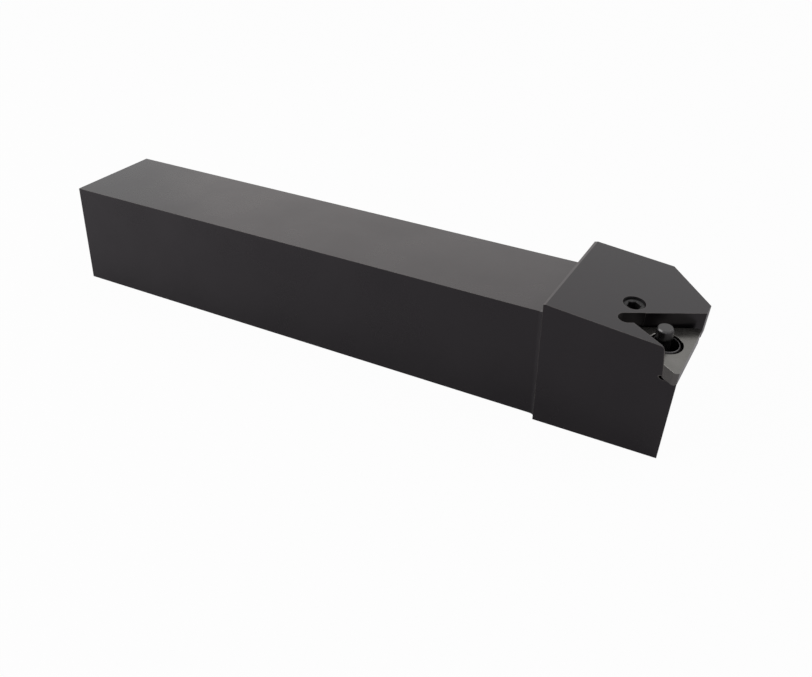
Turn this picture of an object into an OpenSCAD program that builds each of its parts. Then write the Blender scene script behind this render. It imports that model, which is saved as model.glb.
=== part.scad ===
// Turning tool holder with a lever clamp for triangular inserts.
//
// How the real one is made, and so how this file builds it:
//   holder_body  one steel bar: a square shank milled down from the head block,
//                a sloping head top, a chamfered corner, relieved end faces and
//                a triangular pocket with the bores of the clamp under it
//   shim         flat triangular plate that lies in the pocket under the insert
//   shim_pin     tube pressed into the body, it holds the shim in place
//   lever        L-shaped clamp lever: its pin stands up through the shim pin,
//                its heel rocks in the body, its arm reaches into the screw
//   clamp_screw  headless screw with a neck groove and a hexagon socket
//
// Frame: X runs along the shank to the head, Y across it, Z up from its base.
// The rear end of the shank is at X = 0 and the shank is centred on Y = 0.
// The clamp is drawn tight, as it stands with the pin drawn to the inner corner.

/* [Shank] */
// overall length, from the rear end to the cutting edge of a fitted insert
overall_l = 250; // [200:1:300]
// width of the square shank
shank_w = 40; // [32:1:50]
// height of the shank, which is also the height of the cutting edge
shank_h = 40; // [32:1:50]

/* [Head] */
// length of the head, from its rear wall to the cutting edge
head_l = 46.3; // [40:0.1:60]
// how far the head stands out of the shank on the side of the nose
head_near = 3; // [2.6:0.2:8]
// how far the head stands out of the shank on the other side
head_far = 3.6; // [2.6:0.2:10]
// how far the head stands above the shank, at the corner on the nose side
head_rise = 4.6; // [3:0.2:8]
// slope of the head top towards the end
top_pitch = 5.6; // [0:0.2:8]
// slope of the head top towards the nose side
top_roll = 4; // [0:0.2:7]
// lean of the end face under the cutting edge
end_relief = 6; // [4:0.5:8]
// lean of the lower end face
under_relief = 4.2; // [3:0.2:8]
// turn of the lower end face away from the cutting edge, seen from above
under_turn = 8.5; // [1:0.5:12]
// how far the lower end face stands out of the upper one on the nose side
under_out = 0.06; // [0:0.01:0.3]
// thickness of the body left under the shim, above the lower end face
ledge_t = 0.5; // [0.3:0.1:6]
// distance along the end from the middle of the insert to the cut-off far corner
end_land = 19.8; // [16:0.1:26]
// angle of that cut
corner_angle = 46.5; // [40:0.5:50]
// radius of the milled corner between shank top and head
cove_top = 2; // [1:0.1:3]
// radius of the milled corners between shank sides and head
cove_side = 2.5; // [1:0.1:2.6]
// width of the narrow bevel that breaks the rear edge of the head top
rear_bevel = 0.8; // [0.4:0.1:1.5]
// slope of that bevel
bevel_slope = 16; // [8:1:40]

/* [Insert seat] */
// inscribed circle of the triangular insert that the seat takes
insert_ic = 15.875; // [12.7:0.005:19.05]
// thickness of that insert
insert_t = 6.35; // [4.7:0.01:8]
// tilt of the seat towards the end and towards the nose side
seat_tilt = 6; // [4:0.5:8]
// turn of the cutting edge past a right angle
edge_turn = 1; // [0:0.5:5]
// depth of the shim top under the cutting edge, at the middle of the insert
seat_drop = 3.8; // [2:0.05:6]
// distance from the shank's nose side to the middle of the insert
seat_in = 7.5; // [5:0.1:15]
// angle by which the far wall opens, so that the insert bears at the inner corner
wall_ease = 3; // [0:0.2:4]
// width of the relief slot behind the inner corner of the pocket
relief_w = 5.4; // [3:0.1:6]
// reach of the relief slot behind the inner corner
relief_reach = 1.7; // [0.8:0.1:4]
// depth of the slot's side behind the far wall
relief_step = 0.15; // [0.1:0.05:0.5]
// diameter of the clearance grooves at the foot of the pocket walls
groove_d = 1.4; // [0.8:0.1:2]

/* [Shim] */
// thickness of the shim
shim_t = 4.76; // [3:0.01:6.5]
// corner radius of the shim
shim_corner = 1.2; // [1:0.1:3]
// play of the shim's bore on the shim pin, across both sides
shim_play = 0.4; // [0.05:0.05:0.5]
// width of the chamfer round both ends of the bore
shim_bevel = 0.15; // [0.1:0.05:0.8]

/* [Shim pin] */
// thickness of the pin's wall
pin_wall = 1.05; // [0.8:0.05:1.5]
// thickness of its rim, at the top of the lead-in taper
pin_lip = 0.3; // [0.25:0.05:0.7]
// length of the lead-in taper
pin_taper = 1.4; // [0.5:0.1:2.5]
// room inside the pin for the leaning lever, across both sides
pin_room = 0.8; // [0.4:0.1:1.2]
// depth of the pin's press fit in the body
pin_grip = 4.64; // [3:0.01:6]
// depth of its rim under the top of the shim
pin_drop = 0.1; // [0.1:0.1:1.5]

/* [Lever] */
// diameter of the lever's pin where it takes the bore of the insert
lever_d = 5.5; // [5:0.1:6.3]
// diameter of the waist under it
lever_waist = 4.7; // [4:0.1:5.4]
// height of the lever's pin over the shim
lever_up = 5.15; // [3:0.1:6.3]
// depth of the rocking centre under the shim top
pivot_drop = 13.5; // [12:0.1:18]
// radius of the heel
heel_r = 3; // [2.4:0.1:3.5]
// thickness of the arm across the lever
arm_w = 4.6; // [3:0.1:5.5]
// height of the arm
arm_h = 3.2; // [2.4:0.1:4]
// lean of the pin towards the screw when the screw is tight
lean_tight = 5.6; // [0:0.1:7]

/* [Clamp screw] */
// plain diameter that stands for the M8 fine thread
screw_d = 7.4; // [6:0.1:10]
// distance of the screw beyond the circle through the insert's sharp corners
screw_past = 0.225; // [-1:0.025:4]
// direction of the screw seen from the middle of the insert
screw_dir = 152; // [120:1:180]
// height of the tight screw's top over the plane of the shim top
screw_top = 4.25; // [1:0.1:6]
// length of the screw under its groove
foot_l = 3.76; // [2.5:0.01:8]
// width across the flats of the hexagon socket
key_af = 4; // [3:0.5:5]
// depth of the socket
key_depth = 4.5; // [2:0.1:6]
// depth of the groove round the screw
neck_depth = 1.2; // [0.8:0.05:1.6]
// radial play of the screw in its bore
screw_play = 0.05; // [0.02:0.01:0.1]

/* [Output] */
// piece to draw

/* [Hidden] */
$fn = 96;
eps = 0.01;
ri = insert_ic / 2;                       // middle of the insert to an edge
ro = insert_ic;                           // middle to a sharp corner
head_x = overall_l - head_l;
seat_x = overall_l - insert_t * sin(seat_tilt) - ri * cos(seat_tilt) + 0.1;
seat_y = seat_in - shank_w / 2;
seat_z = shank_h - seat_drop;
near_y = -shank_w / 2 - head_near;
far_y = shank_w / 2 + head_far;
ledge_z = seat_z - shim_t - ledge_t;
end_x = seat_x + ri - seat_z * tan(end_relief);     // upper end face, at the base
under_x = end_x + ledge_z * (tan(end_relief) - tan(under_relief)) + under_out;
corner_x = seat_x + ri + 0.11;            // where the cut corner meets the end
head_h = 60;                              // stock height before the top is cut
pin_id = lever_waist + 2 * (pivot_drop - pin_drop) * sin(lean_tight) + pin_room;
pin_od = pin_id + 2 * pin_wall;
pin_l = shim_t - pin_drop + pin_grip;
shim_bore = pin_od + shim_play;
neck_d = screw_d - 2 * neck_depth;
screw_off = ro + screw_past;              // screw to the middle of the insert
arm_rise = 1.2;                           // angle of the arm above square
arm_reach = screw_off - neck_d / 2 - 0.35;
neck_w = arm_h + 0.5;                     // height of the neck groove
neck_z = -pivot_drop - (arm_reach - arm_h / 2) * sin(lean_tight - arm_rise);
screw_l = screw_top - neck_z + neck_w / 2 + foot_l;

// Seat frame: origin in the middle of the insert on the plane of the shim top.
module at_seat() {
    translate([seat_x, seat_y, seat_z])
        rotate([seat_tilt, seat_tilt, 0]) rotate([0, 0, edge_turn]) children();
}

// Clamp frame: X from the lever's pin towards the screw, Z along the screw.
module at_clamp() {
    at_seat() rotate([0, 0, screw_dir - edge_turn]) children();
}

// A profile in the plane of the clamp (x towards the screw, y up), t thick.
module across(t) {
    rotate([90, 0, 0]) translate([0, 0, -t / 2]) linear_extrude(t) children();
}

// Rounded triangle, one corner towards -X: tangent points and corner arcs.
module tri2d(r_in, r_c) {
    d = 2 * (r_in - r_c);
    polygon([for (i = [0 : 2], s = [-1, 1])
        let (a = 180 + 120 * i)
        [d * cos(a) + r_c * cos(a + s * 60), d * sin(a) + r_c * sin(a + s * 60)]]);
    for (i = [0 : 2]) rotate([0, 0, 180 + 120 * i]) translate([d, 0]) circle(r_c);
}

// Material left by a milling cutter in the angle of two faces that meet at the
// origin, one along -X and one along +Y. r is the corner radius of the cutter.
module cove2d(r) {
    difference() {
        translate([-r, -eps]) square([r + 1, r + eps]);
        translate([-r, r]) circle(r);
    }
}

// End of the shank with its milled corners: the top and the two sides are cut
// by separate passes, so what is left is common to both profiles.
module shank_end() {
    len = 12;
    intersection() {
        translate([head_x, far_y, 0]) rotate([90, 0, 0]) linear_extrude(far_y - near_y) {
            translate([-len, 0]) square([len + 1, shank_h]);
            translate([0, shank_h]) cove2d(cove_top);
        }
        translate([head_x, 0, 0]) linear_extrude(head_h) {
            translate([-len, -shank_w / 2]) square([len + 1, shank_w]);
            for (s = [-1, 1]) scale([1, s]) translate([0, shank_w / 2]) cove2d(cove_side);
        }
    }
}

// What is milled off the top of the head, and the bevel along its rear edge.
module above_top() {
    translate([head_x + rear_bevel, near_y, shank_h + head_rise])
        rotate([top_roll, top_pitch, 0]) {
            translate([-20, -20, 0]) cube([120, 120, 60]);
            rotate([0, -top_pitch - bevel_slope, 0]) translate([-rear_bevel - 4, -20, 0])
                cube([rear_bevel + 4, 120, 60]);
        }
}

// A flat cut beyond x, leaning back by `lean` and turned by `turn` in plan.
module end_cut(x, lean, turn) {
    translate([x, near_y, 0]) rotate([0, 0, turn]) rotate([0, lean, 0])
        translate([0, -20, -20]) cube([60, 140, 140]);
}

// Half space under the ledge that carries the shim, reaching `up` above its plane.
module under_ledge(up) {
    at_seat() translate([-80, -80, -shim_t - ledge_t - 100 + up]) cube([160, 160, 100]);
}

module head_cuts() {
    above_top();
    difference() {
        end_cut(end_x, end_relief, edge_turn);
        under_ledge(0);
    }
    intersection() {
        end_cut(under_x, under_relief, under_turn);
        under_ledge(eps);
    }
    translate([corner_x, seat_y + end_land, -1]) rotate([0, 0, corner_angle])
        translate([0, -60, 0]) cube([60, 120, 80]);
}

// Space for insert and shim, open upwards and towards the end.
module pocket() {
    w = ro + 1.6 * ri;
    at_seat() translate([0, 0, -shim_t]) {
        linear_extrude(40) polygon([
            [-ro, 0], [-ro + w, -w * tan(30)], [-ro + w, w * tan(30 + wall_ease)]]);
        // relief slot with a round end, in line with the far wall
        translate([-ro, 0, 0]) rotate([0, 0, 30 + wall_ease]) linear_extrude(40) {
            x0 = relief_w / 2 - relief_reach;
            y0 = relief_step - relief_w / 2;
            translate([x0, y0]) circle(relief_w / 2);
            translate([x0, y0 - relief_w / 2]) square([7, relief_w]);
        }
        // clearance grooves at the foot of both walls
        for (a = [-30, 30 + wall_ease]) translate([-ro, 0, 0]) rotate([0, 0, a])
            translate([4, 0, 0]) rotate([0, 90, 0]) cylinder(d = groove_d, h = 60);
    }
}

// Spaces of the clamp: bore of the shim pin, slot of the lever, screw bore.
module clamp_space() {
    r = heel_r + 0.05;
    swing = (pivot_drop - pin_drop - pin_l) * sin(lean_tight);
    w = max(r, lever_waist / 2 + swing + 0.25);
    translate([0, 0, -pin_drop - pin_l]) cylinder(d = pin_od, h = pin_l + 1);
    across(arm_w + 0.8) {
        translate([0, -pivot_drop]) circle(r);
        translate([-w, -pivot_drop]) square([2 * w, pivot_drop - pin_drop - pin_l + 0.5]);
        translate([0, -pivot_drop - arm_h / 2 - 1.6]) square([screw_off, arm_h + 3.2]);
    }
    translate([screw_off, 0, screw_top - screw_l - 1])
        cylinder(r = screw_d / 2 + screw_play, h = screw_l + 20);
}

module holder_body() {
    color([0.20, 0.19, 0.19]) difference() {
        union() {
            translate([0, -shank_w / 2, 0]) cube([head_x + eps, shank_w, shank_h]);
            translate([head_x, near_y, 0]) cube([head_l + 10, far_y - near_y, head_h]);
            shank_end();
        }
        head_cuts();
        pocket();
        at_clamp() clamp_space();
    }
}

module shim() {
    color([0.45, 0.44, 0.43]) at_seat() difference() {
        translate([0, 0, -shim_t]) linear_extrude(shim_t) tri2d(ri, shim_corner);
        translate([0, 0, -shim_t - 1]) cylinder(d = shim_bore, h = shim_t + 2);
        for (m = [0, 1]) translate([0, 0, -m * shim_t]) mirror([0, 0, m])
            translate([0, 0, -shim_bevel])
            cylinder(d1 = shim_bore, d2 = shim_bore + 4 * shim_bevel, h = 2 * shim_bevel);
    }
}

module shim_pin() {
    color([0.30, 0.29, 0.29]) at_clamp() translate([0, 0, -pin_drop]) rotate_extrude()
        polygon([
            [pin_id / 2, -pin_l], [pin_od / 2 - 0.3, -pin_l], [pin_od / 2, -pin_l + 0.3],
            [pin_od / 2, -pin_taper], [pin_id / 2 + pin_lip, -0.1],
            [pin_id / 2 + pin_lip - 0.1, 0],
            [pin_id / 2 + 0.1, 0], [pin_id / 2, -0.1]]);
}

// Lever in its own frame: rocking centre at the origin, pin upright.
module lever_shape() {
    top = pivot_drop + lever_up;
    belly = pivot_drop + 0.4;
    rotate_extrude() polygon([
        [0, -0.5], [lever_waist / 2, -0.5], [lever_waist / 2, belly],
        [lever_d / 2 - 0.1, belly + 0.9], [lever_d / 2, belly + 1.8],
        [lever_d / 2, top - 0.9], [lever_d / 2 - 0.15, top - 0.4],
        [lever_d / 2 - 0.5, top], [0, top]]);
    across(arm_w) {
        circle(heel_r);
        rotate(arm_rise) {
            translate([0, -arm_h / 2]) square([arm_reach - arm_h / 2, arm_h]);
            translate([arm_reach - arm_h / 2, 0]) circle(arm_h / 2);
        }
    }
}

module lever() {
    color([0.34, 0.33, 0.33]) at_clamp()
        translate([0, 0, -pivot_drop]) rotate([0, lean_tight, 0]) lever_shape();
}

module clamp_screw() {
    r = screw_d / 2;
    z0 = -screw_l;
    n1 = neck_z - screw_top + neck_w / 2;
    n0 = n1 - neck_w;
    af = key_af / cos(30);
    color([0.26, 0.25, 0.25]) at_clamp() translate([screw_off, 0, screw_top]) difference() {
        rotate_extrude() polygon([
            [0, z0], [r - 1, z0], [r, z0 + 1], [r, n0 - 0.3], [r - 0.3, n0],
            [neck_d / 2, n0], [neck_d / 2, n1], [r - 0.3, n1], [r, n1 + 0.3],
            [r, -0.4], [r - 0.4, 0], [0, 0]]);
        translate([0, 0, -key_depth]) cylinder(d = af, h = key_depth + 1, $fn = 6);
        translate([0, 0, -0.3]) cylinder(d1 = af - 0.3, d2 = af + 0.9, h = 0.6);
        translate([0, 0, -key_depth - 0.8])
            cylinder(d1 = 0.4, d2 = key_af - 0.2, h = 0.8 + eps);
    }
}

holder_body();
shim();
shim_pin();
lever();
clamp_screw();
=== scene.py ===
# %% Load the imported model
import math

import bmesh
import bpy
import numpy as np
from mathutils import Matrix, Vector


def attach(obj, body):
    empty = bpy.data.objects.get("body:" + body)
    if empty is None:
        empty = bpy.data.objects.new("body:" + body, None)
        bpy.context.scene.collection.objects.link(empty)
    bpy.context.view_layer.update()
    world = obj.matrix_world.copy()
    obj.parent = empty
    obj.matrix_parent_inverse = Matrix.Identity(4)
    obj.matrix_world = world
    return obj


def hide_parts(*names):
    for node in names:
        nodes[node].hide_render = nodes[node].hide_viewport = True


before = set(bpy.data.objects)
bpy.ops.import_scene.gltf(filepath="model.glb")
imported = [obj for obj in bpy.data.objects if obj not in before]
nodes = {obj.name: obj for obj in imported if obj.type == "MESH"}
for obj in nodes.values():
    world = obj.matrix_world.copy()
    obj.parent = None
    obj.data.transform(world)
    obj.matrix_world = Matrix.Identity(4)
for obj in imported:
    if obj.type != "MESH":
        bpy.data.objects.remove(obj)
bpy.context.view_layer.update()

# %% [markdown]
# # Finishing a turning tool holder
#
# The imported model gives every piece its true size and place, in metres. What is
# missing is the look: edges that are never knife sharp, a real thread on the
# screw, steel that was milled, blackened and ground, and a quiet studio.
#
# We keep one habit through the whole lesson. A shape is a formula of two
# parameters that numpy works out for all points at once, and a finish is a
# small network of nodes that reads where a point is on its object, and never a
# picture.

MM = 0.001
print("pieces in the packed model:", ", ".join(sorted(nodes)))

# %% [markdown]
# ## The clamp's own axes
#
# The insert seat is tilted by six degrees towards the end and as much towards
# the nose side. Lever and screw stand square to it, so it is easiest to think
# about them in a frame of their own: X from the lever's pin towards the screw,
# Z along the screw, origin in the middle of the seat. A matrix carries points
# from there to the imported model.

# %% Seat and clamp frames
SEAT = Vector((241.5422, -12.5, 36.2)) * MM
TILT = math.radians(6.0)
CLAMP_TURN = math.radians(152.0)
SCREW_OFFSET = 16.1 * MM
SCREW_TOP = 4.25 * MM
PIVOT_DROP = 13.5 * MM
LEAN = math.radians(5.6)

tilted = Matrix.Rotation(TILT, 4, "Y") @ Matrix.Rotation(TILT, 4, "X")
to_seat = Matrix.Translation(SEAT) @ tilted
to_clamp = to_seat @ Matrix.Rotation(CLAMP_TURN, 4, "Z")
to_screw = to_clamp @ Matrix.Translation((SCREW_OFFSET, 0, SCREW_TOP))
seat_axis = to_seat.to_3x3() @ Vector((0, 0, 1))
lever_axis = to_clamp.to_3x3() @ Vector((math.sin(LEAN), 0, math.cos(LEAN)))
pivot = to_clamp @ Vector((0, 0, -PIVOT_DROP))
print("screw top at", [round(v / MM, 2) for v in to_screw.translation], "mm")
print("lever pivot at", [round(v / MM, 2) for v in pivot], "mm")

# %% [markdown]
# ## Turning arrays into a piece
#
# Every new piece goes through one helper. It takes the points and the faces as
# arrays, carries the points to their place with a matrix, so that the object
# itself stays at the origin, and lets the piece ride on a body of the model.


# %% Helper: arrays to a riding piece
def piece_from_arrays(name, points, faces, place, body, stands_for):
    """A mesh object from an (n, 3) array of points in metres and a list of faces."""
    m = np.array(place)
    points = points @ m[:3, :3].T + m[:3, 3]
    mesh = bpy.data.meshes.new(name)
    mesh.from_pydata(points.tolist(), [], faces)
    mesh.validate()
    made = bpy.data.objects.new(name, mesh)
    bpy.context.scene.collection.objects.link(made)
    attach(made, body)
    if stands_for:
        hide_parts(*stands_for)
    print(f"{name}: {len(mesh.vertices)} points, {len(mesh.polygons)} faces")
    return made


# %% [markdown]
# A turned piece is a stack of rings. Ring i has a radius and a height for every
# angle, so a ring may just as well be a circle, a hexagon or one step of a
# screw thread. The first and the last ring close onto a point of the axis.


# %% Helper: points of rings round the Z axis
def ring_points(radius, height):
    """Point (i, j) lies at angle 2 pi j / m, at radius[i, j] from Z and height[i, j] up it."""
    angle = np.linspace(0.0, 2 * np.pi, radius.shape[1], endpoint=False)
    return np.stack(
        [radius * np.cos(angle), radius * np.sin(angle), height], axis=-1
    ).reshape(-1, 3)


# %% Helper: a closed stack of rings
def stacked_rings(radius, height):
    """Quads join ring i to ring i + 1, and a fan of triangles closes each end on the axis."""
    n, m = radius.shape
    poles = np.array([[0, 0, height[0].mean()], [0, 0, height[-1].mean()]])
    points = np.vstack([ring_points(radius, height), poles])
    i, j = np.meshgrid(np.arange(n - 1), np.arange(m), indexing="ij")
    k = (j + 1) % m
    quads = np.stack([i * m + j, i * m + k, (i + 1) * m + k, (i + 1) * m + j], -1)
    j = np.arange(m)
    k = (j + 1) % m
    first = np.stack([np.full(m, n * m), k, j], -1)
    last = np.stack([np.full(m, n * m + 1), (n - 1) * m + j, (n - 1) * m + k], -1)
    return points, quads.reshape(-1, 4).tolist() + first.tolist() + last.tolist()


# %% [markdown]
# ## The clamp screw and its thread
#
# The screw is a headless one with a fine thread, a groove round its waist that
# takes the lever's arm, and a hexagon socket. Blender could sweep a thread with
# its Screw modifier, but the ends of such a thread are hard to run out. A
# formula does both. A thread is a ridge that climbs one pitch in a turn, so the
# depth under the crest depends only on the fractional part of height / pitch -
# angle / full turn. A second factor lets it run out at the groove and at the
# foot, and a chamfer cuts it off at the top, as on a real set screw.

# %% Sizes of the screw
SCREW_R = 3.7 * MM
SCREW_L = 24.254 * MM
NECK_R = 2.5 * MM
PITCH = 1.0 * MM
THREAD_DEPTH = 0.42 * MM
THREAD_START = 0.7
RUN_OUT = 0.8 * MM
GROOVE_TOP = -16.794 * MM
GROOVE_BASE = GROOVE_TOP - 3.7 * MM
GROOVE_CHAMFER = 0.3 * MM
TOP_CHAMFER = 0.25 * MM
FOOT_CHAMFER = 1.0 * MM
SOCKET_AF = 4.0 * MM
SOCKET_DEPTH = 4.5 * MM
STEPS_ROUND = 96
HAIR = 0.001 * MM


# %% Helpers: how deep the thread is, and where it runs out
def fade(z, low, high, over):
    """0 outside low..high, 1 well inside, with a straight run of length over at both ends."""
    return np.clip((z - low) / over, 0, 1) * np.clip((high - z) / over, 0, 1)


def thread_depth(z, turn):
    """Depth under the crest as a share of the full depth, with a narrow flat at the root.

    phase is the fractional part of z / pitch - turn + THREAD_START. The share is
    1.25 |2 phase - 1| and at most 1, so the crest is at phase one half."""
    phase = np.mod(z / PITCH - turn + THREAD_START, 1.0)
    return np.clip(1.25 * np.abs(2.0 * phase - 1.0), 0, 1)


# %% The threaded side, from the foot to the top
RINGS_BELOW = 34
RINGS_ABOVE = 196
LAST_RING = -0.05 * MM

turn = np.linspace(0.0, 1.0, STEPS_ROUND, endpoint=False)[None, :]
z = np.concatenate([
    np.linspace(-SCREW_L, GROOVE_BASE - GROOVE_CHAMFER, RINGS_BELOW),
    [GROOVE_BASE, GROOVE_BASE + HAIR, GROOVE_TOP - HAIR, GROOVE_TOP],
    np.linspace(GROOVE_TOP + GROOVE_CHAMFER, LAST_RING, RINGS_ABOVE),
])[:, None]
run = fade(z, GROOVE_TOP, RUN_OUT, RUN_OUT) + fade(
    z, -SCREW_L + RUN_OUT, GROOVE_BASE, RUN_OUT
)
side_r = SCREW_R - THREAD_DEPTH * run * thread_depth(z, turn)
side_r = np.minimum(side_r, SCREW_R - TOP_CHAMFER - z)
side_r = np.minimum(side_r, SCREW_R - FOOT_CHAMFER + z + SCREW_L)
waist = (z > GROOVE_BASE + HAIR / 2) & (z < GROOVE_TOP - HAIR / 2)
edge = np.minimum(np.abs(z - GROOVE_BASE), np.abs(z - GROOVE_TOP)) < HAIR / 2
side_r = np.where(waist, NECK_R, side_r)
side_r = np.where(edge, SCREW_R - GROOVE_CHAMFER, side_r)
side_z = z + 0.0 * turn
print("thread turns above the groove:", round(float(-GROOVE_TOP / PITCH), 1))


# %% The top face and the hexagon socket
def hexagon_radius(across_flats):
    """Distance from the middle to a hexagon's side at each angle: half the width
    across flats over the cosine of the angle from the middle of that side."""
    a = 2 * np.pi * turn
    return across_flats / 2 / np.cos(np.mod(a, np.pi / 3) - np.pi / 6)


MOUTH_R = SOCKET_AF / math.sqrt(3) + 0.15 * MM
MOUTH_ROUND = 0.1 * MM
MOUTH_DEPTH = 0.33 * MM
DRILL_R = 1.9 * MM
DRILL_POINT_R = 0.2 * MM
DRILL_POINT = 0.8 * MM

one = np.ones_like(turn)
hexagon = hexagon_radius(SOCKET_AF)
mouth = np.maximum(MOUTH_R, hexagon)
cap = [
    (SCREW_R - TOP_CHAMFER, 0.0),
    (mouth + MOUTH_ROUND, 0.0),
    (mouth, -0.3 * MOUTH_ROUND),
    (hexagon, -MOUTH_DEPTH),
    (hexagon, -SOCKET_DEPTH / 2),
    (hexagon, -SOCKET_DEPTH),
    (DRILL_R, -SOCKET_DEPTH),
    (DRILL_POINT_R, -SOCKET_DEPTH - DRILL_POINT),
]
cap_r = np.vstack([one * r for r, h in cap])
cap_z = np.vstack([one * h for r, h in cap])
screw_points, screw_faces = stacked_rings(
    np.vstack([side_r, cap_r]), np.vstack([side_z, cap_z])
)
screw = piece_from_arrays(
    "clamp_screw_threaded", screw_points, screw_faces, to_screw,
    "screw", ["clamp_screw"],
)

# %% [markdown]
# ## The thread in the body
#
# Above the screw some turns of the body's own thread show in the bore. It
# follows the same formula a little further out, so that the two threads lie in
# each other with a hair's play, and still do after the screw has risen by two
# whole pitches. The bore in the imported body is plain. Cutting a thread into it
# would mean a new mesh for the whole body, so we line it instead with a thin
# sleeve: inside it is the thread, and outside it is a wall that lies hidden in
# the steel.

# %% Height of the bore's rim above the screw
RIM_WITHIN = 4.4 * MM
RIM_OVER = 0.2 * MM

body_mesh = nodes["holder_body"].data
corner = np.empty(len(body_mesh.vertices) * 3)
body_mesh.vertices.foreach_get("co", corner)
to_local = np.array(to_screw.inverted())
corner = corner.reshape(-1, 3) @ to_local[:3, :3].T + to_local[:3, 3]
by_the_bore = np.hypot(corner[:, 0], corner[:, 1]) < RIM_WITHIN
rim = float(corner[by_the_bore & (corner[:, 2] > RIM_OVER), 2].min())
print("the bore's rim is", round(rim / MM, 2), "mm above the screw's top")

# %% The threaded sleeve
SLEEVE_BASE = -3.0 * MM
SLEEVE_TOP = rim - 0.08 * MM
SLEEVE_PLAY = 0.045 * MM
SLEEVE_WALL = 0.12 * MM
SLEEVE_RUN_OUT = 0.06 * MM
RINGS_A_PITCH = 16


def sleeve():
    """Rings up the inside, where the radius is the screw's own at that height plus
    the play, then down the outside at a constant radius, joined end to end."""
    rings = round((SLEEVE_TOP - SLEEVE_BASE) / PITCH * RINGS_A_PITCH)
    z = np.linspace(SLEEVE_BASE, SLEEVE_TOP, rings)[:, None]
    depth = thread_depth(z, turn) * fade(z, SLEEVE_BASE, SLEEVE_TOP, SLEEVE_RUN_OUT)
    inner = SCREW_R + SLEEVE_PLAY - THREAD_DEPTH * depth
    outer = np.full_like(inner, SCREW_R + SLEEVE_PLAY + SLEEVE_WALL)
    radius = np.vstack([inner, outer[::-1]])
    height = np.vstack([z, z[::-1]]) + 0.0 * turn
    n, m = radius.shape
    i, j = np.meshgrid(np.arange(n), np.arange(m), indexing="ij")
    up, k = (i + 1) % n, (j + 1) % m
    quads = np.stack([i * m + j, up * m + j, up * m + k, i * m + k], -1)
    return ring_points(radius, height), quads.reshape(-1, 4).tolist()


bore_points, bore_faces = sleeve()
bore = piece_from_arrays(
    "bore_thread", bore_points, bore_faces, to_screw, "holder", []
)

# %% [markdown]
# ## Edges
#
# A milled edge is broken with a file or in the tumbling drum, and the narrow
# strip that this leaves catches the light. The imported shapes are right, so we
# copy each mesh, merge its loose triangles, dissolve the flat ones back into
# faces, and let a Bevel modifier cut every edge sharper than thirty degrees.
# One corner of the pocket is filed rounder than the rest, and that is a bevel
# of its vertex.
#
# Round walls should shade smoothly and flat ones should stay flat, also where
# they meet. Weighted normals do both: at a shared corner the larger face wins.
# An edge between two large faces, or one that turns by more than a facet of a
# round wall does, is marked sharp. The strips take the piece's second material,
# which is the same steel with the rub of an edge on it.

# %% What counts as merged, flat, large and an edge
MERGE_WITHIN = 0.001 * MM
FLAT_WITHIN = math.radians(0.6)
LARGE_FACE = 60.0 * MM**2
EDGE_FROM = math.radians(30)
EDGE_STEPS = 2
FILED_STEPS = 6


# %% Helper: a copy of a piece with broken edges
def with_broken_edges(node, name, body, width, sharp_from=24.0, filed=()):
    """A copy of a CAD node whose triangles are merged and whose sharp edges are bevelled.

    sharp_from is in degrees. filed holds (corner, radius) pairs for corners that
    are rounded by hand."""
    mesh = nodes[node].data.copy()
    mesh.name = name
    b = bmesh.new()
    b.from_mesh(mesh)
    bmesh.ops.remove_doubles(b, verts=b.verts, dist=MERGE_WITHIN)
    bmesh.ops.dissolve_limit(b, angle_limit=FLAT_WITHIN, verts=b.verts, edges=b.edges)
    for corner, radius in filed:
        nearest = min(b.verts, key=lambda v: (v.co - corner).length)
        bmesh.ops.bevel(b, geom=[nearest], offset=radius, segments=FILED_STEPS,
                        profile=0.5, affect="VERTICES")
        print(f"{name}: a corner rounded at {[round(c / MM, 1) for c in corner]} mm")
    for e in b.edges:
        turns = math.degrees(e.calc_face_angle(math.pi))
        smallest = min(f.calc_area() for f in e.link_faces)
        e.smooth = turns < sharp_from and smallest < LARGE_FACE
    b.to_mesh(mesh)
    b.free()
    mesh.materials.clear()
    if "custom_normal" in mesh.attributes:
        mesh.attributes.remove(mesh.attributes["custom_normal"])
    mesh.polygons.foreach_set("use_smooth", np.ones(len(mesh.polygons), bool))
    made = bpy.data.objects.new(name, mesh)
    bpy.context.scene.collection.objects.link(made)
    cut = made.modifiers.new("broken edges", "BEVEL")
    cut.width = width
    cut.segments = EDGE_STEPS
    cut.limit_method = "ANGLE"
    cut.angle_limit = EDGE_FROM
    cut.material = 1
    shade = made.modifiers.new("flat stays flat", "WEIGHTED_NORMAL")
    shade.keep_sharp = True
    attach(made, body)
    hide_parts(node)
    print(f"{name}: {len(mesh.polygons)} faces before the edges are cut")
    return made


# %% The holder, its shim and the pins
POCKET_TIP = Vector((243.6, -23.0, 40.766)) * MM
POCKET_TIP_R = 1.5 * MM

block = with_broken_edges(
    "holder_body", "holder_block", "holder", 0.18 * MM,
    sharp_from=9.0, filed=[(POCKET_TIP, POCKET_TIP_R)],
)
shim = with_broken_edges("shim", "seat_shim", "holder", 0.04 * MM)
tube = with_broken_edges("shim_pin", "shim_tube", "holder", 0.05 * MM)
lever = with_broken_edges("lever", "clamp_lever", "lever", 0.10 * MM)

# %% [markdown]
# ## Finishes
#
# The same few effects return on every steel here, so each is a node group that
# is built once: a fine grain with slow clouds, the lay of a milling cutter, the
# rings that a lathe leaves, and the rub of hands and machines on the edges.
# Painted maps could do the same, but every piece would have to be unfolded for
# them. A formula of the place in space fits any shape. A group gives out only
# values that change over the surface. The shader itself, and every number that
# is the same all over, stays in the material.


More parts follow.
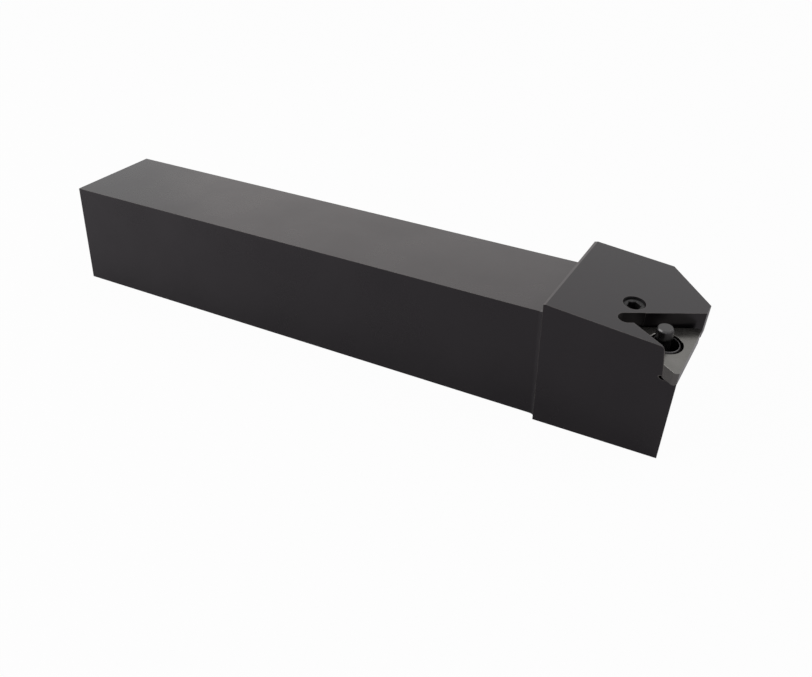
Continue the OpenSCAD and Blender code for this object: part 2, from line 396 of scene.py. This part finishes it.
# %% Helper: a node group with named sockets
def new_group(name, inputs, outputs):
    """An empty shader node group. inputs holds (label, default), outputs labels.

    A default of three numbers makes a vector socket, a single one a number."""
    g = bpy.data.node_groups.new(name, "ShaderNodeTree")
    for label, value in inputs:
        kind = "NodeSocketVector" if isinstance(value, tuple) else "NodeSocketFloat"
        s = g.interface.new_socket(label, in_out="INPUT", socket_type=kind)
        s.default_value = value
    for label in outputs:
        g.interface.new_socket(label, in_out="OUTPUT", socket_type="NodeSocketFloat")
    print("group:", name)
    return g, g.nodes.new("NodeGroupInput"), g.nodes.new("NodeGroupOutput")


# %% Helpers: one line for a Math, a Vector Math or a Noise node
def wire(tree, node, values):
    """Sets or links the node's inputs in order, and returns the node."""
    for i, v in enumerate(values):
        if isinstance(v, (int, float, tuple)):
            node.inputs[i].default_value = v
        elif v is not None:
            tree.links.new(v, node.inputs[i])
    return node


def math_node(tree, kind, *values):
    """A Math node whose inputs are numbers or sockets."""
    n = tree.nodes.new("ShaderNodeMath")
    n.operation = kind
    return wire(tree, n, values).outputs[0]


def vector_node(tree, kind, *values):
    """A Vector Math node. Its second output holds dot products and lengths."""
    n = tree.nodes.new("ShaderNodeVectorMath")
    n.operation = kind
    return wire(tree, n, values).outputs


def scaled(tree, vector, scale):
    """A vector times a number or a socket."""
    n = vector_node(tree, "SCALE", vector)[0].node
    if isinstance(scale, float):
        n.inputs["Scale"].default_value = scale
    else:
        tree.links.new(scale, n.inputs["Scale"])
    return n.outputs[0]


def noise_node(tree, where, scale, detail, rough):
    """A Noise texture at the vector where."""
    n = tree.nodes.new("ShaderNodeTexNoise")
    n.inputs["Detail"].default_value = detail
    n.inputs["Roughness"].default_value = rough
    wire(tree, n, (where, None, scale))
    return n.outputs["Fac"]


def object_place(tree):
    """Where a point is on the object itself, in metres."""
    return tree.nodes.new("ShaderNodeTexCoord").outputs["Object"]


# %% Group: grain and clouds
def build_grain():
    """Two noises on object coordinates: a fine one for grain, a slow one for clouds."""
    g, i, o = new_group(
        "steel grain", [("Grain scale", 2600.0), ("Cloud scale", 38.0)], ["Grain", "Cloud"]
    )
    place = object_place(g)
    for scale, detail, rough, out in (
        ("Grain scale", 3.0, 0.6, "Grain"), ("Cloud scale", 4.0, 0.55, "Cloud"),
    ):
        g.links.new(noise_node(g, place, i.outputs[scale], detail, rough), o.inputs[out])
    return g


GRAIN = build_grain()

# %% Group: the lay of a milling cutter
LAY_STRETCH = 80.0


def build_lay():
    """Fine lines across Along: noise whose other two directions are stretched."""
    g, i, o = new_group(
        "milling lay", [("Lines per metre", 3000.0), ("Along", (1.0, 0.0, 0.0))], ["Lay"]
    )
    place = object_place(g)
    step = vector_node(g, "DOT_PRODUCT", place, i.outputs["Along"])[1]
    rest = scaled(g, place, 1 / LAY_STRETCH)
    where = vector_node(g, "ADD", scaled(g, i.outputs["Along"], step), rest)[0]
    lines = noise_node(g, where, i.outputs["Lines per metre"], detail=2.0, rough=0.5)
    g.links.new(lines, o.inputs["Lay"])
    return g


LAY = build_lay()


# %% Group: the rings of a lathe
def build_rings():
    """Noise that depends only on height along the axis plus distance from it, so that
    it makes rings on a turned side and circles on a turned end."""
    g, i, o = new_group(
        "lathe rings",
        [("Rings per metre", 5000.0), ("Axis", (0.0, 0.0, 1.0)), ("Centre", (0.0, 0.0, 0.0))],
        ["Rings"],
    )
    out_to = vector_node(g, "SUBTRACT", object_place(g), i.outputs["Centre"])[0]
    height = vector_node(g, "DOT_PRODUCT", out_to, i.outputs["Axis"])[1]
    on_axis = scaled(g, i.outputs["Axis"], height)
    from_axis = vector_node(g, "LENGTH", vector_node(g, "SUBTRACT", out_to, on_axis)[0])[1]
    both = g.nodes.new("ShaderNodeCombineXYZ")
    g.links.new(math_node(g, "ADD", height, from_axis), both.inputs["X"])
    across = both.outputs[0]
    lines = noise_node(g, across, i.outputs["Rings per metre"], detail=1.0, rough=0.5)
    g.links.new(lines, o.inputs["Rings"])
    return g


RINGS = build_rings()

# %% [markdown]
# Wear is the one effect that has to know the shape. Two nodes look at it. Bevel
# gives the normal that a rounded edge would have, so beside an edge it leaves
# the true normal. Ambient Occlusion says how open a place is. Only what sticks
# out is rubbed, so we multiply the two, and a noise breaks the line up, because
# an edge rubs off in some places more.

# %% Group: worn edges
LOOKS_ROUND = 6
OPEN_WITHIN = 8 * MM
PATCH_GAIN, PATCH_SHIFT = 2.2, -0.4
OPEN_GAIN, OPEN_SHIFT = 3.0, -1.2


def build_wear():
    """Wear is (1 - cosine between rounded and true normal) / Reach + On the edge, times
    how open the place is, times a noise. A gain and a shift stretch these two factors.

    On the edge lifts the wear all over, for the narrow strip itself."""
    g, i, o = new_group(
        "worn edges",
        [("Width", 0.4 * MM), ("Reach", 0.3), ("Patch scale", 160.0), ("On the edge", 0.0)],
        ["Wear"],
    )
    rounded = g.nodes.new("ShaderNodeBevel")
    rounded.samples = LOOKS_ROUND
    g.links.new(i.outputs["Width"], rounded.inputs["Radius"])
    true = g.nodes.new("ShaderNodeNewGeometry").outputs["True Normal"]
    same = vector_node(g, "DOT_PRODUCT", rounded.outputs[0], true)[1]
    bent = math_node(g, "DIVIDE", math_node(g, "SUBTRACT", 1.0, same), i.outputs["Reach"])
    bent = math_node(g, "ADD", bent, i.outputs["On the edge"])
    place = object_place(g)
    patch = noise_node(g, place, i.outputs["Patch scale"], detail=5.0, rough=0.6)
    patch = math_node(g, "MULTIPLY_ADD", patch, PATCH_GAIN, PATCH_SHIFT)
    open_air = g.nodes.new("ShaderNodeAmbientOcclusion")
    open_air.samples = LOOKS_ROUND
    open_air.inputs["Distance"].default_value = OPEN_WITHIN
    free = math_node(g, "MULTIPLY_ADD", open_air.outputs["AO"], OPEN_GAIN, OPEN_SHIFT)
    free.node.use_clamp = True
    bent = math_node(g, "MULTIPLY", bent, free)
    kept = math_node(g, "MULTIPLY", bent, patch)
    kept.node.use_clamp = True
    g.links.new(kept, o.inputs["Wear"])
    return g


WEAR = build_wear()

# %% [markdown]
# ## One recipe, five steels
#
# The body is blackened: iron oxide some thousandths of a millimetre thick over
# milled steel. It is nearly black, and all the grey that it shows is a mirror
# image of the room, weak from above and strong at a low angle. So its colour is
# very dark, and its roughness does the work. Shim, pin, lever and screw are
# bare or only lightly blackened, so they are mostly metallic. They differ in
# numbers, not in kind, and one helper makes them all.


# %% Helpers: placing a group, blending and spreading in a material
def use_group(tree, group, **values):
    """A group node with its own values. An underscore in a name stands for a space."""
    n = tree.nodes.new("ShaderNodeGroup")
    n.node_tree = group
    for label, v in values.items():
        n.inputs[label.replace("_", " ")].default_value = v
    return n.outputs


def mix_colours(tree, share, a, b):
    """Blends colour or socket a into b by share."""
    n = tree.nodes.new("ShaderNodeMix")
    n.data_type = "RGBA"
    tree.links.new(share, n.inputs["Factor"])
    for label, v in (("A", a), ("B", b)):
        if isinstance(v, tuple):
            n.inputs[label].default_value = (*v, 1)
        else:
            tree.links.new(v, n.inputs[label])
    return n.outputs["Result"]


def spread(tree, value, low, high, start=0.3, end=0.7):
    """Maps start..end of a value onto low..high. A noise stays mostly within 0.3..0.7."""
    n = tree.nodes.new("ShaderNodeMapRange")
    return wire(tree, n, (value, start, end, low, high)).outputs["Result"]


# %% Helper: a steel with its own numbers
SURFACE_IOR = 1.5
GRAIN_HEIGHT = 0.02 * MM
RUB_DULLS = 0.2


def steel(name, on_edge, dark, light, rubbed, metallic, rough, worn, bump, grain=2600.0,
          cloud=38.0, lay=None, turned=None, tint=(1, 1, 1), gloss=0.5):
    """A Principled steel. Clouds blend dark into light and spread the roughness, wear
    shows the rubbed colour, and grain, milling lines and lathe rings lift the normal.

    on_edge is 1 for the strips along the edges and 0 elsewhere, rough is (lowest,
    highest), and worn the share of the rubbed colour at an edge. lay is (lines per
    metre, along, share), and turned is (rings per metre, axis, centre, share). gloss
    is the strength of the mirror image. A half is the usual strength, and a low gloss dulls it as
    painted shade."""
    m = bpy.data.materials.new(name)
    m.use_nodes = True
    t = m.node_tree
    shader = t.nodes["Principled BSDF"]
    fine = use_group(t, GRAIN, Grain_scale=grain, Cloud_scale=cloud)
    rub = math_node(t, "MULTIPLY", use_group(t, WEAR, On_the_edge=on_edge)["Wear"], worn)
    colour = mix_colours(t, fine["Cloud"], dark, light)
    t.links.new(mix_colours(t, rub, colour, rubbed), shader.inputs["Base Color"])
    dull = math_node(t, "MULTIPLY_ADD", rub, RUB_DULLS, spread(t, fine["Cloud"], *rough))
    t.links.new(dull, shader.inputs["Roughness"])
    metal = spread(t, rub, metallic, 1.0, start=0.0, end=1.0)
    t.links.new(metal, shader.inputs["Metallic"])
    height = fine["Grain"]
    if lay:
        lines = use_group(t, LAY, Lines_per_metre=lay[0], Along=lay[1])["Lay"]
        height = math_node(t, "MULTIPLY_ADD", lines, lay[2], height)
    if turned:
        rings = use_group(t, RINGS, Rings_per_metre=turned[0], Axis=turned[1], Centre=turned[2])
        height = math_node(t, "MULTIPLY_ADD", rings["Rings"], turned[3], height)
    rise = t.nodes.new("ShaderNodeBump")
    rise.inputs["Strength"].default_value = bump
    rise.inputs["Distance"].default_value = GRAIN_HEIGHT
    t.links.new(height, rise.inputs["Height"])
    t.links.new(rise.outputs["Normal"], shader.inputs["Normal"])
    shader.inputs["IOR"].default_value = SURFACE_IOR
    shader.inputs["Specular IOR Level"].default_value = gloss
    shader.inputs["Specular Tint"].default_value = (*tint, 1)
    print("material:", name)
    return m


# %% Helper: the face and the edge finish of some pieces
def paint(piece, name, **look):
    """Gives the piece the steel, and a second one like it for its broken edges."""
    for on_edge, label in ((0.0, name), (1.0, name + ", edges")):
        piece.data.materials.append(steel(label, on_edge, **look))


# %% [markdown]
# The bore's thread has the body's oxide too, but no tool and no hand rubs it.
# Its mirror image is turned far down as painted shade, and that keeps the hole
# over the screw dark.

# %% The blackened body and its bore
OXIDE = dict(
    dark=(0.0016, 0.0013, 0.0018), light=(0.0034, 0.0028, 0.0034),
    rubbed=(0.20, 0.185, 0.175), metallic=0.0, bump=0.22,
)
paint(
    block, "black oxide on milled steel", **OXIDE, rough=(0.25, 0.34), worn=0.6,
    lay=(3000.0, (1.0, 0.0, 0.0), 0.7), tint=(1.0, 0.945, 0.975),
)
# The gloss of 0.06 here is painted shade that darkens the hole over the screw.
paint(
    bore, "black oxide in the bore, dulled as painted shade", **OXIDE, rough=(0.42, 0.52), worn=0.0,
    gloss=0.06,
)

# %% The ground shim
paint(
    shim, "ground bare shim",
    dark=(0.136, 0.132, 0.125), light=(0.184, 0.179, 0.170), rubbed=(0.22, 0.21, 0.20),
    metallic=1.0, rough=(0.18, 0.26), worn=0.2, bump=0.22,
    grain=3400.0, cloud=120.0, lay=(2600.0, (0.8, 0.6, 0.0), 1.2),
)

# %% Pin, lever and screw are turned, each about its own axis
paint(
    tube, "turned dark pin",
    dark=(0.030, 0.029, 0.030), light=(0.060, 0.058, 0.060), rubbed=(0.20, 0.19, 0.19),
    metallic=0.9, rough=(0.28, 0.38), worn=0.5, bump=0.3,
    cloud=200.0, turned=(5200.0, seat_axis, SEAT, 1.4),
)
paint(
    lever, "hardened lever steel",
    dark=(0.055, 0.054, 0.055), light=(0.085, 0.083, 0.083), rubbed=(0.16, 0.155, 0.15),
    metallic=0.95, rough=(0.24, 0.33), worn=0.4, bump=0.3,
    cloud=220.0, turned=(4300.0, lever_axis, pivot, 1.2),
)
paint(
    screw, "blackened screw steel",
    dark=(0.011, 0.0105, 0.011), light=(0.024, 0.023, 0.024), rubbed=(0.15, 0.145, 0.14),
    metallic=0.6, rough=(0.30, 0.42), worn=0.4, bump=0.3,
    cloud=200.0, turned=(4800.0, seat_axis, to_screw.translation, 1.2),
)

# %% [markdown]
# ## Stage, light and camera
#
# A dark, slightly glossy block shows its surroundings more than its own colour.
# Seen at a low angle its top mirrors the white room behind it and turns grey,
# while its side mirrors the floor just in front, where the block keeps some of
# the light away, and stays nearly black. So the studio is a pale floor in a
# white room, with one soft lamp high above, a weaker one in front to the left,
# and a faint wide one behind that the shank's top mirrors.

# %% Floor
FLOOR_HALF = 6.0
FLOOR_GAP = 0.05 * MM
FLOOR_COLOUR = (0.36, 0.345, 0.365)
FLOOR_SEEN = 0.97
FLOOR_MIRRORED = 0.10


def pale_floor():
    """One large quad a hair below the base. It is nearly white where the camera sees
    it, and a darker paper where the block mirrors it."""
    h = FLOOR_HALF
    mesh = bpy.data.meshes.new("floor")
    mesh.from_pydata([(-h, -h, 0), (h, -h, 0), (h, h, 0), (-h, h, 0)], [], [(0, 1, 2, 3)])
    floor = bpy.data.objects.new("floor", mesh)
    floor.location.z = -FLOOR_GAP
    bpy.context.scene.collection.objects.link(floor)
    m = bpy.data.materials.new("pale floor")
    m.use_nodes = True
    t = m.node_tree
    t.nodes.clear()
    paper = t.nodes.new("ShaderNodeBsdfDiffuse")
    paper.inputs["Color"].default_value = (*FLOOR_COLOUR, 1)
    white = t.nodes.new("ShaderNodeEmission")
    path = t.nodes.new("ShaderNodeLightPath").outputs
    share = math_node(t, "MULTIPLY", path["Is Camera Ray"], FLOOR_SEEN)
    share = math_node(t, "MULTIPLY_ADD", path["Is Glossy Ray"], FLOOR_MIRRORED, share)
    share = math_node(t, "MULTIPLY_ADD", path["Is Transmission Ray"], FLOOR_SEEN, share)
    mix = wire(t, t.nodes.new("ShaderNodeMixShader"), (share, paper.outputs[0], white.outputs[0]))
    out = t.nodes.new("ShaderNodeOutputMaterial")
    t.links.new(mix.outputs[0], out.inputs["Surface"])
    mesh.materials.append(m)
    print("floor:", 2 * FLOOR_HALF, "m wide")


pale_floor()

# %% World: white where it is seen or mirrored, softer as a light
WORLD_LIGHT = 0.55


def white_room():
    """A white background for camera, glossy and transmission rays, and the same one
    at WORLD_LIGHT for the rays that only carry light."""
    world = bpy.data.worlds.new("white room")
    bpy.context.scene.world = world
    world.use_nodes = True
    t = world.node_tree
    t.nodes.clear()
    path = t.nodes.new("ShaderNodeLightPath").outputs
    plain = math_node(t, "MAXIMUM", path["Is Camera Ray"], path["Is Glossy Ray"])
    plain = math_node(t, "MAXIMUM", plain, path["Is Transmission Ray"])
    shades = []
    for strength in (WORLD_LIGHT, 1.0):
        shade = t.nodes.new("ShaderNodeBackground")
        shade.inputs["Color"].default_value = (1, 1, 1, 1)
        shade.inputs["Strength"].default_value = strength
        shades.append(shade.outputs[0])
    mix = wire(t, t.nodes.new("ShaderNodeMixShader"), (plain, *shades))
    out = t.nodes.new("ShaderNodeOutputWorld")
    t.links.new(mix.outputs[0], out.inputs["Surface"])
    print("world:", world.name, "with a light of", WORLD_LIGHT)


white_room()


# %% Three soft lamps
def soft_lamp(name, place, aim, size, power, colour=(1, 1, 1)):
    """A square area lamp at place that faces aim, in metres and watts."""
    data = bpy.data.lights.new(name, "AREA")
    data.color = colour
    data.size = size
    data.energy = power
    made = bpy.data.objects.new(name, data)
    made.location = place
    made.rotation_euler = (Vector(aim) - Vector(place)).to_track_quat("-Z", "Y").to_euler()
    bpy.context.scene.collection.objects.link(made)
    print(f"{name}: {power} W, {size} m wide")


soft_lamp(
    "lamp above", place=(0.85, 0.56, 1.31), aim=(0.13, 0, 0), size=1.0, power=9.5
)
soft_lamp(
    "lamp front left", place=(-0.35, -0.36, 0.26), aim=(0.04, 0, 0.02), size=0.7, power=5.4
)
soft_lamp(
    "lamp behind left", place=(-0.55, 1.20, 0.60), aim=(0.10, 0, 0.04), size=0.8,
    power=0.55, colour=(1, 0.84, 0.78),
)

# %% [markdown]
# The camera was worked out from the edges of the shank, whose size is known. It
# stands beyond the head, to the nose side of the shank, and looks down by
# thirty-one degrees through a lens of ordinary length.

# %% Camera
SENSOR_WIDTH = 36.0
LENS = 43.63
CAMERA_PLACE = (0.29732, -0.28371, 0.19376)
CAMERA_TURN = (59.268, -0.746, 29.182)
CLIP_START, CLIP_END = 0.01, 30.0

camera_data = bpy.data.cameras.new("camera")
camera_data.sensor_width = SENSOR_WIDTH
camera_data.lens = LENS
camera_data.clip_start = CLIP_START
camera_data.clip_end = CLIP_END
camera = bpy.data.objects.new("camera", camera_data)
camera.location = CAMERA_PLACE
camera.rotation_euler = [math.radians(v) for v in CAMERA_TURN]
bpy.context.scene.collection.objects.link(camera)
bpy.context.scene.camera = camera
bpy.context.scene.view_settings.view_transform = "Standard"
print("camera:", LENS, "mm lens")
